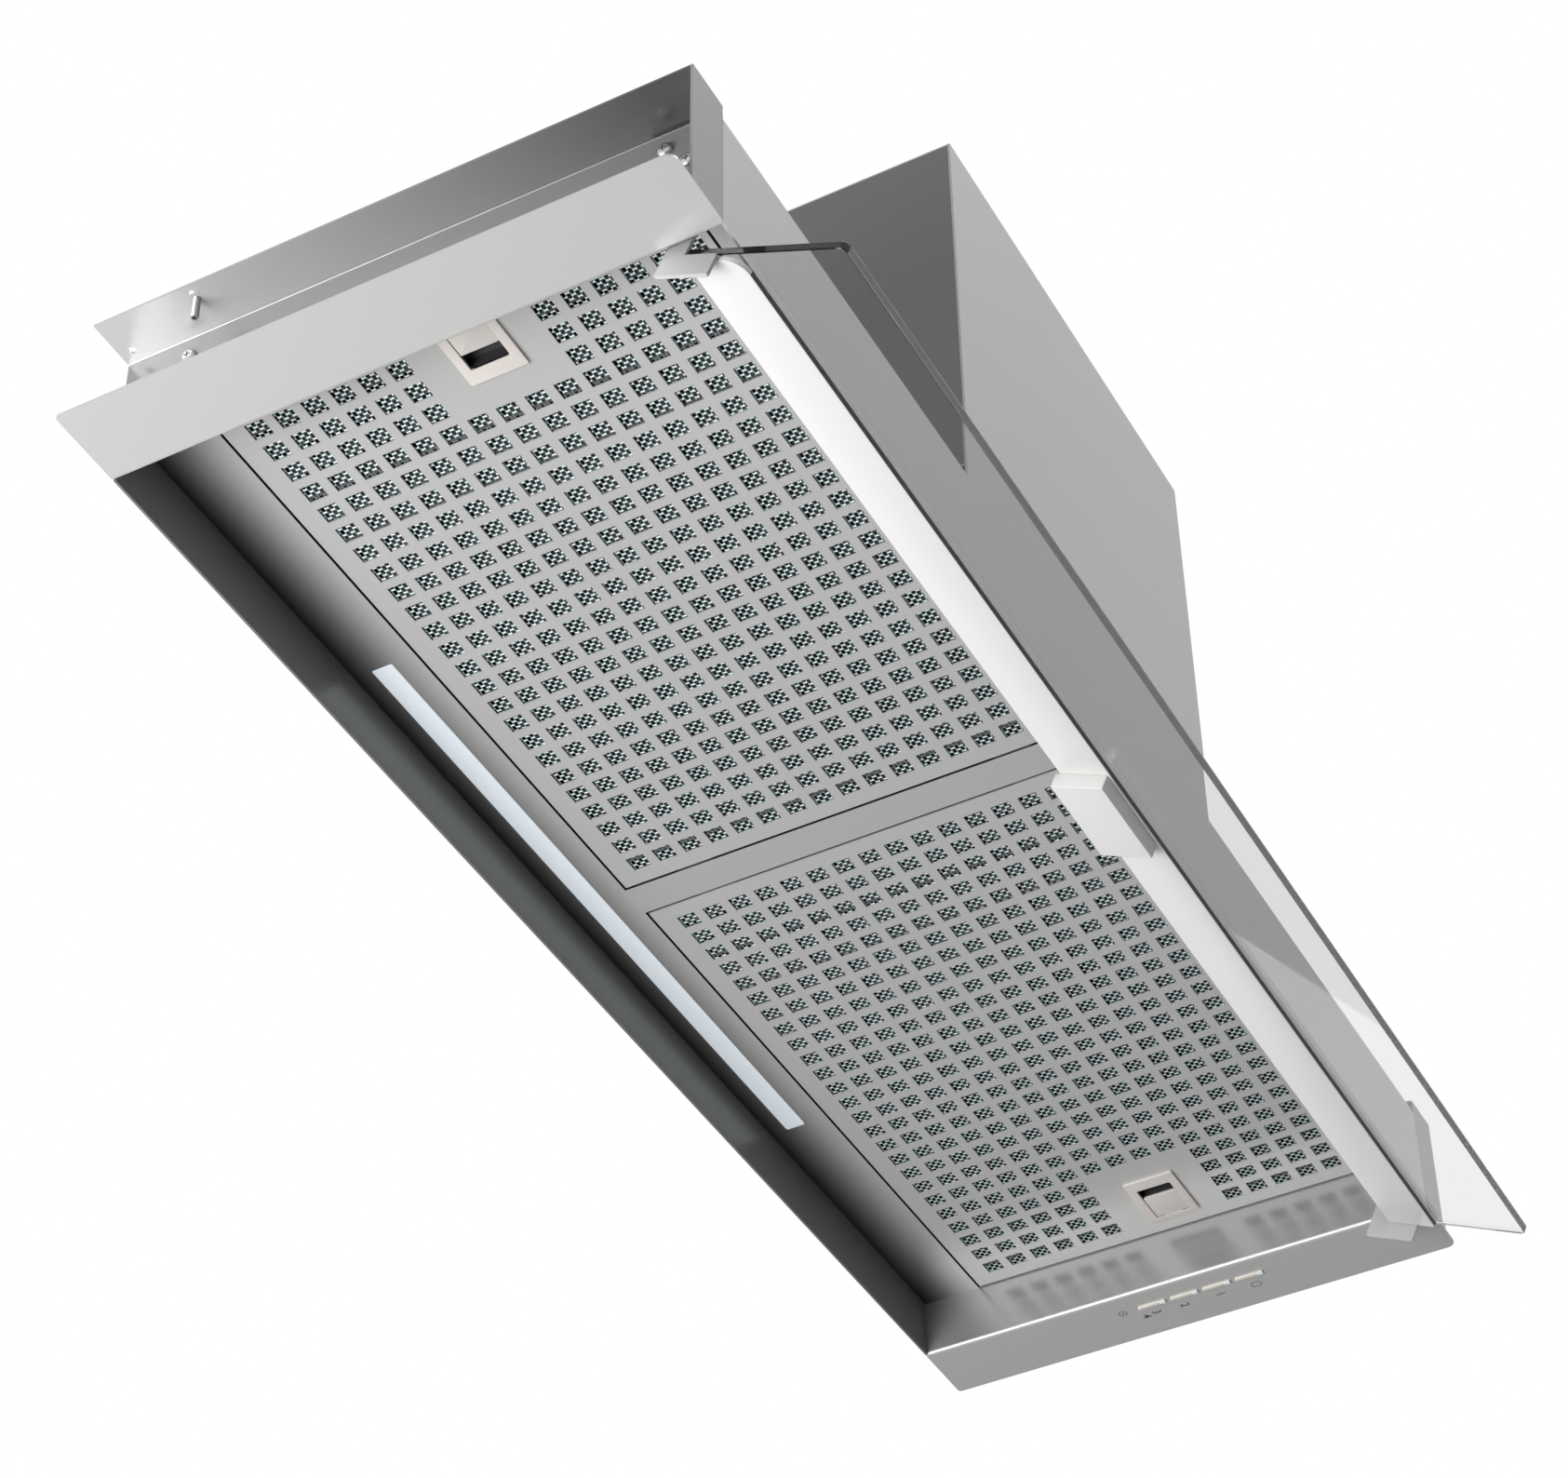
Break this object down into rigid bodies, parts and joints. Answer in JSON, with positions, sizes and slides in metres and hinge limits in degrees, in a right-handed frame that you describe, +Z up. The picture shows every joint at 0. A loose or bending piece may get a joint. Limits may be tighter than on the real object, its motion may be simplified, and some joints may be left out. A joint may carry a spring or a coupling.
{
  "type": "range hood",
  "caption": "Range hood built in under a cupboard, with tilting glass visor, perforated grease filters with sliding latches, strip lamp, push buttons and fan unit with round duct collar.",
  "frame": {"origin": "midway between the two rear fixing holes, on the upper face of the end flanges", "axes": "+X along the hood towards the push buttons, -Y towards the front where the visor is, +Z up"},
  "size_m": [0.9, 0.3672, 0.3943],
  "materials": {
    "steel": "satin stainless sheet",
    "grey_sheet": "plain grey sheet, low gloss",
    "fasteners": "zinc plated",
    "aluminium": "plain",
    "glass": "clear toughened glass",
    "white_paint": "smooth",
    "bracket_grey": "smooth",
    "handle_grey": "fine grain",
    "light_plastic": "fine grain",
    "diffuser": "frosted",
    "white_plastic": "plain",
    "dark_plastic": "plain",
    "circuit_board": "solder mask",
    "fan_plastic": "plain",
    "motor_paint": "plain"
  },
  "bodies": {
    "casing": {"back_panel": "steel", "cable_gland": "dark_plastic", "closing_plate_left": "grey_sheet", "closing_plate_right": "grey_sheet", "damper_axle": "fasteners", "duct_spigot": "grey_sheet", "fan_motor": "motor_paint", "front_ceiling_strip": "steel", "front_panel": "grey_sheet", "lamp_board": "circuit_board", "lamp_channel": "grey_sheet", "lamp_diffuser": "diffuser", "lamp_driver": "white_plastic", "levelling_screws": "fasteners", "microswitches": "dark_plastic", "middle_bar": "steel", "motor_box_cover": "grey_sheet", "motor_box_screws": "fasteners", "motor_box_shell": "grey_sheet", "motor_bracket": "grey_sheet", "rear_ceiling_panel": "steel", "scroll_housing": "fan_plastic", "side_frame_left": "steel", "side_frame_right": "steel", "switch_board": "circuit_board", "switch_housing": "dark_plastic", "terminal_box": "dark_plastic", "terminal_lid": "dark_plastic", "top_deck": "grey_sheet", "visor_friction_washers": "light_plastic", "visor_pivot_pins": "fasteners", "wall_bolts": "fasteners", "wall_nuts": "fasteners"},
    "visor": {"visor_glass": "glass", "visor_carrier_strip": "white_paint", "visor_handle": "handle_grey", "visor_handle_screws": "fasteners", "visor_bracket_left": "bracket_grey", "visor_bracket_right": "bracket_grey"},
    "filter_left": {"filter_plate_left": "steel", "filter_mesh_left": "aluminium", "filter_frame_left": "aluminium", "latch_housing_left": "light_plastic"},
    "filter_right": {"filter_plate_right": "steel", "filter_mesh_right": "aluminium", "filter_frame_right": "aluminium", "latch_housing_right": "light_plastic"},
    "latch_left": {"latch_slider_left": "light_plastic"},
    "latch_right": {"latch_slider_right": "light_plastic"},
    "button_high": {"button_high": "light_plastic"},
    "button_medium": {"button_medium": "light_plastic"},
    "button_low": {"button_low": "light_plastic"},
    "button_light": {"button_light": "light_plastic"},
    "fan_rotor": {"impeller": "fan_plastic", "motor_shaft": "fasteners"},
    "flap_rear": {"damper_flap_rear": "fan_plastic"},
    "flap_front": {"damper_flap_front": "fan_plastic"}
  },
  "joints": [
    {"name": "visor_tilt", "type": "hinge", "parent": "casing", "child": "visor", "pos_m": [0, -0.2842, -0.0655], "axis": [-1, 0, 0], "range_deg": [0, 22]},
    {"name": "filter_left_swing", "type": "hinge", "parent": "casing", "child": "filter_left", "pos_m": [-0.0106, -0.155, -0.0399], "axis": [0, -1, 0], "range_deg": [0, 60]},
    {"name": "filter_right_swing", "type": "hinge", "parent": "casing", "child": "filter_right", "pos_m": [0.0106, -0.155, -0.0399], "axis": [0, 1, 0], "range_deg": [0, 60]},
    {"name": "latch_left_slide", "type": "slide", "parent": "filter_left", "child": "latch_left", "axis": [1, 0, 0], "range_m": [0, 0.006], "stiffness_N_per_m": 300, "springref_m": -0.004},
    {"name": "latch_right_slide", "type": "slide", "parent": "filter_right", "child": "latch_right", "axis": [-1, 0, 0], "range_m": [0, 0.006], "stiffness_N_per_m": 300, "springref_m": -0.004},
    {"name": "button_high_push", "type": "slide", "parent": "casing", "child": "button_high", "axis": [0, 0, 1], "range_m": [0, 0.0008], "stiffness_N_per_m": 800, "springref_m": -0.001},
    {"name": "button_medium_push", "type": "slide", "parent": "casing", "child": "button_medium", "axis": [0, 0, 1], "range_m": [0, 0.0008], "stiffness_N_per_m": 800, "springref_m": -0.001},
    {"name": "button_low_push", "type": "slide", "parent": "casing", "child": "button_low", "axis": [0, 0, 1], "range_m": [0, 0.0008], "stiffness_N_per_m": 800, "springref_m": -0.001},
    {"name": "button_light_push", "type": "slide", "parent": "casing", "child": "button_light", "axis": [0, 0, 1], "range_m": [0, 0.0008], "stiffness_N_per_m": 800, "springref_m": -0.001},
    {"name": "fan_spin", "type": "hinge", "parent": "casing", "child": "fan_rotor", "pos_m": [-0.0245, -0.185, 0.1105], "axis": [1, 0, 0], "continuous": true},
    {"name": "flap_rear_swing", "type": "hinge", "parent": "casing", "child": "flap_rear", "pos_m": [-0.0245, -0.10775, 0.2394], "axis": [1, 0, 0], "range_deg": [0, 75]},
    {"name": "flap_front_swing", "type": "hinge", "parent": "casing", "child": "flap_front", "pos_m": [-0.0245, -0.10775, 0.2394], "axis": [-1, 0, 0], "range_deg": [0, 75]}
  ]
}
